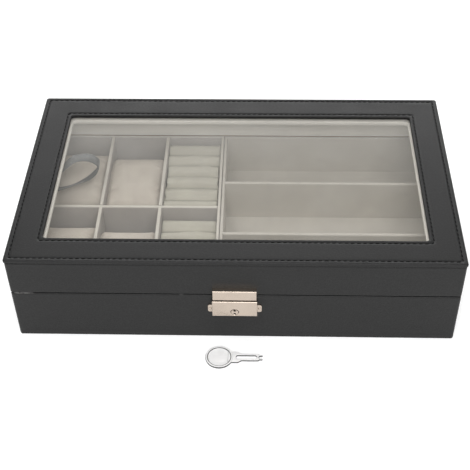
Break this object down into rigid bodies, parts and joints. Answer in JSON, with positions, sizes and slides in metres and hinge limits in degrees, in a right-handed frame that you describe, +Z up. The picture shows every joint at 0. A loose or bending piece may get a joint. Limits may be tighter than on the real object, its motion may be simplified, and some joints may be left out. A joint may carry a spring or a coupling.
{
  "type": "watch, ring and spectacles box",
  "caption": "Black leather covered box with a glazed hinged lid, watch pillows, ring rolls and spectacles places, closed by a hasp and key lock.",
  "frame": {"origin": "middle of the flat underside of the box, on the table", "axes": "+X along the front to the right, +Y from the front with the lock to the back with the hinges, +Z up; lid closed"},
  "size_m": [0.335, 0.2358, 0.0805],
  "materials": {
    "black_leather": "fine grained, satin",
    "black_felt": "matt felt",
    "clear_pane": "clear, polished",
    "cream_lining": "smooth cream cloth on board",
    "tray_velvet": "short velvet on board",
    "pillow_velvet": "short velvet, stuffed",
    "ring_velvet": "short velvet on foam",
    "grey_ribbon": "satin ribbon",
    "steel": "plain steel",
    "nickel": "nickel plated, bright",
    "fibreboard": "sawn fibreboard"
  },
  "bodies": {
    "base": {"base_back_board": "fibreboard", "base_bottom_board": "fibreboard", "base_felt": "black_felt", "base_front_board": "fibreboard", "base_leather": "black_leather", "base_left_board": "fibreboard", "base_right_board": "fibreboard", "hinge_base_leaf_left": "nickel", "hinge_base_leaf_right": "nickel", "hinge_pins": "steel", "left_tray_back_wall": "tray_velvet", "left_tray_cross_divider": "tray_velvet", "left_tray_floor": "tray_velvet", "left_tray_front_wall": "tray_velvet", "left_tray_left_wall": "tray_velvet", "left_tray_long_divider_left": "tray_velvet", "left_tray_long_divider_right": "tray_velvet", "left_tray_right_wall": "tray_velvet", "lid_stay_ribbon": "grey_ribbon", "lock_back_plate": "nickel", "lock_case": "nickel", "lock_detent_spring": "steel", "right_tray_back_wall": "tray_velvet", "right_tray_divider_back": "tray_velvet", "right_tray_divider_front": "tray_velvet", "right_tray_floor": "tray_velvet", "right_tray_front_wall": "tray_velvet", "right_tray_left_wall": "tray_velvet", "right_tray_right_wall": "tray_velvet", "ring_pad_back": "ring_velvet", "ring_pad_front": "ring_velvet", "watch_pillow_back_left": "pillow_velvet", "watch_pillow_back_middle": "pillow_velvet", "watch_pillow_front_left": "pillow_velvet", "watch_pillow_front_middle": "pillow_velvet"},
    "lid": {"lid_front_board": "fibreboard", "lid_back_board": "fibreboard", "lid_left_board": "fibreboard", "lid_right_board": "fibreboard", "lid_leather": "black_leather", "lid_frame_board": "fibreboard", "lid_frame_leather": "black_leather", "window_pane": "clear_pane", "pane_retaining_frame": "cream_lining", "lid_lining_front": "cream_lining", "lid_lining_back": "cream_lining", "lid_lining_left": "cream_lining", "lid_lining_right": "cream_lining", "hinge_lid_leaf_left": "nickel", "hinge_lid_leaf_right": "nickel", "hasp_plate": "nickel", "hasp_tongue": "nickel"},
    "lock_barrel": {"key_barrel": "nickel", "lock_bolt": "nickel"},
    "key": {"key": "nickel"}
  },
  "joints": [
    {"name": "lid_hinge", "type": "hinge", "parent": "base", "child": "lid", "pos_m": [0, 0.102, 0.0465], "axis": [-1, 0, 0], "range_deg": [0, 85], "deforming": ["lid_stay_ribbon"]},
    {"name": "lock_turn", "type": "hinge", "parent": "base", "child": "lock_barrel", "pos_m": [0, -0.1, 0.0328], "axis": [0, 1, 0], "range_deg": [0, 90], "deforming": ["lock_detent_spring"]},
    {"name": "key_lift", "type": "slide", "parent": "base", "child": "key", "axis": [0, 0, 1], "range_m": [0, 0.05]}
  ]
}
